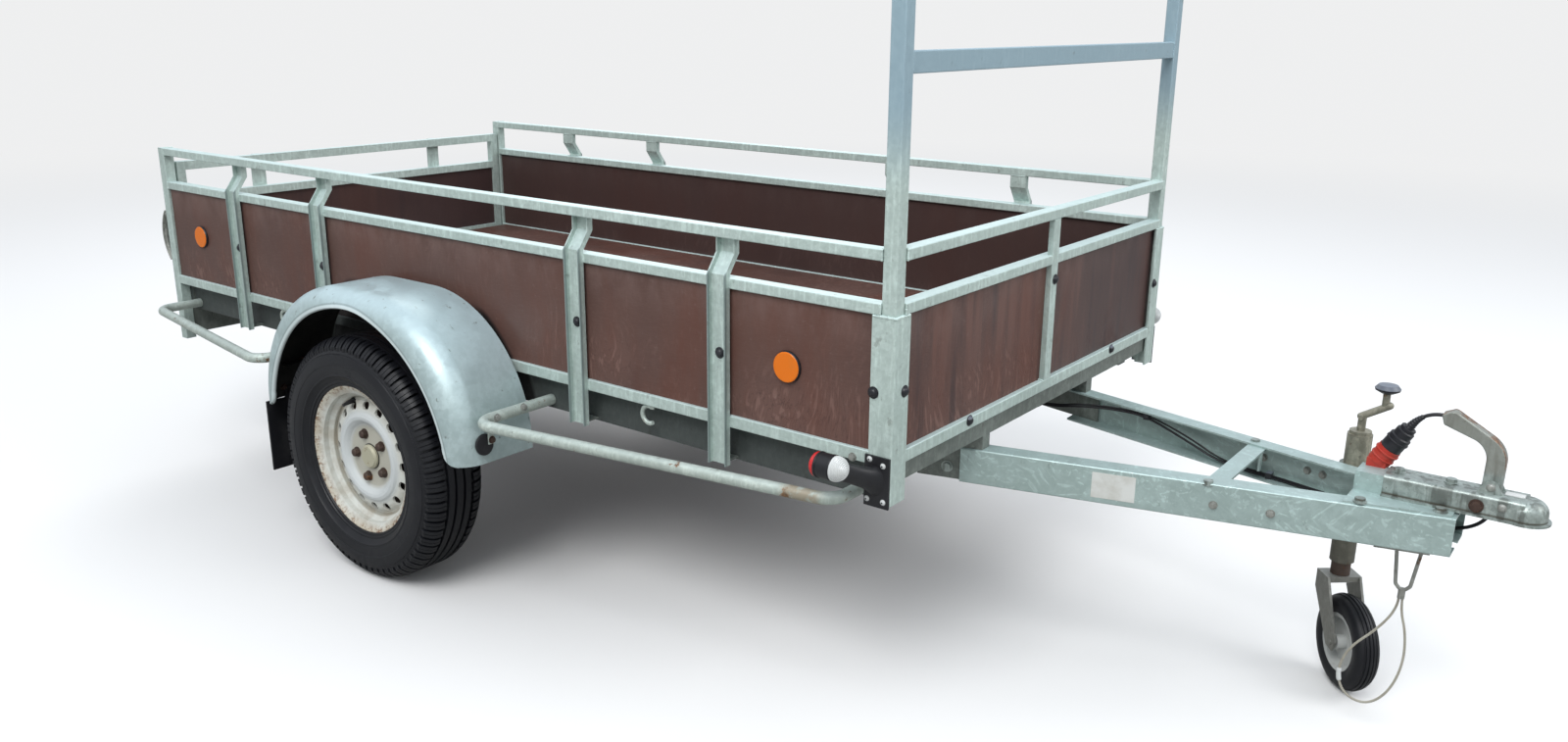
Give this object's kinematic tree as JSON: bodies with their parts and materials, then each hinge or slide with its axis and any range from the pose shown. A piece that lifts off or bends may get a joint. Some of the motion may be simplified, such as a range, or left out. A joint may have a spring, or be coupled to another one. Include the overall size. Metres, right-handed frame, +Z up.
{
  "type": "utility trailer",
  "caption": "Single-axle open box trailer with galvanised frame, brown board sides, ladder rack, ball coupling and jockey wheel.",
  "frame": {"origin": "middle of the trailer's length and width, on the ground", "axes": "+X towards the coupling, +Y to the trailer's left, +Z up"},
  "size_m": [3.5623, 1.706, 1.444],
  "materials": {
    "galvanised": "matt grey galvanised steel",
    "brown_board": "dark brown film-faced board, weathered",
    "galvanised_rails": "weathered galvanised steel",
    "black_plastic": "black plastic",
    "zinc": "zinc plated, worn",
    "red_lens": "red lens",
    "blank_plate": "plain pale plate",
    "mudguard_zinc": "dull galvanised sheet",
    "black_rubber": "black rubber",
    "tube_zinc": "galvanised tube with some rust",
    "orange_lens": "orange reflector",
    "white_lens": "clear white lens",
    "hub_steel": "rusty hub steel",
    "rim_paint": "off-white paint with rust",
    "tyre": "black tyre rubber",
    "spangled_zinc": "galvanised sheet with large spangles",
    "coupling_zinc": "zinc plated, stained and rusty",
    "jockey_zinc": "zinc plated, stained",
    "dark_steel": "dark oiled steel",
    "red_plastic": "red plastic",
    "black_cable": "black cable sheath",
    "coated_rope": "clear-coated steel rope"
  },
  "bodies": {
    "trailer": {"chassis_frame": "galvanised", "floor_board": "brown_board", "side_rails": "galvanised_rails", "side_panels": "brown_board", "side_stakes": "galvanised_rails", "stake_brackets": "galvanised", "front_frame": "galvanised_rails", "front_panels": "brown_board", "corner_angles": "galvanised_rails", "ladder_rack": "galvanised_rails", "rack_caps": "black_plastic", "rear_posts": "galvanised_rails", "tailgate_hinges": "galvanised", "tail_latches": "zinc", "light_bar": "galvanised", "rear_lamps": "red_lens", "plate_holder": "blank_plate", "mudguard_right": "mudguard_zinc", "mudguard_left": "mudguard_zinc", "mudflaps": "black_rubber", "mudguard_stays": "galvanised", "side_guards": "tube_zinc", "tie_hooks": "tube_zinc", "reflectors": "orange_lens", "marker_arms": "black_rubber", "marker_red": "red_lens", "marker_white": "white_lens", "axle": "galvanised", "drawbar_beams": "spangled_zinc", "drawbar_mount": "galvanised", "drawbar_spacers": "galvanised", "data_plate": "blank_plate", "cross_strap": "spangled_zinc", "coupling_saddle": "spangled_zinc", "coupling_head": "coupling_zinc", "coupling_handle": "coupling_zinc", "jockey_clamp": "galvanised", "jockey_tube": "jockey_zinc", "jockey_crank": "jockey_zinc", "jockey_knob": "black_plastic", "plug_holder": "red_plastic", "plug": "black_plastic", "cable_hanger": "zinc", "cable_loom": "black_cable", "cable_clips": "black_plastic", "plug_cable": "black_cable", "safety_cable": "coated_rope"},
    "wheel_right": {"rim_right": "rim_paint", "tyre_right": "tyre", "hub_right": "hub_steel"},
    "wheel_left": {"rim_left": "rim_paint", "tyre_left": "tyre", "hub_left": "hub_steel"},
    "tailgate": {"tailgate_frame": "galvanised_rails", "tailgate_panel": "brown_board"},
    "jockey_slider": {"jockey_stem": "dark_steel"},
    "jockey_castor": {"jockey_fork": "zinc"},
    "jockey_roller": {"jockey_rim": "rim_paint", "jockey_tyre": "tyre"}
  },
  "joints": [
    {"name": "wheel_right_spin", "type": "hinge", "parent": "trailer", "child": "wheel_right", "pos_m": [-0.55556, -0.766, 0.298], "axis": [0, 1, 0], "continuous": true},
    {"name": "wheel_left_spin", "type": "hinge", "parent": "trailer", "child": "wheel_left", "pos_m": [-0.55556, 0.766, 0.298], "axis": [0, 1, 0], "continuous": true},
    {"name": "tailgate_hinge", "type": "hinge", "parent": "trailer", "child": "tailgate", "pos_m": [-1.74355, 0, 0.54], "axis": [0, -1, 0], "range_deg": [0, 180]},
    {"name": "jockey_lift", "type": "slide", "parent": "trailer", "child": "jockey_slider", "axis": [0, 0, -1], "range_m": [0, 0.15]},
    {"name": "jockey_swivel", "type": "hinge", "parent": "jockey_slider", "child": "jockey_castor", "pos_m": [1.42545, 0.15077, 0.224], "axis": [0, 0, 1], "continuous": true},
    {"name": "jockey_spin", "type": "hinge", "parent": "jockey_castor", "child": "jockey_roller", "pos_m": [1.46723, 0.10098, 0.1], "axis": [0.766, 0.6428, 0], "continuous": true}
  ]
}
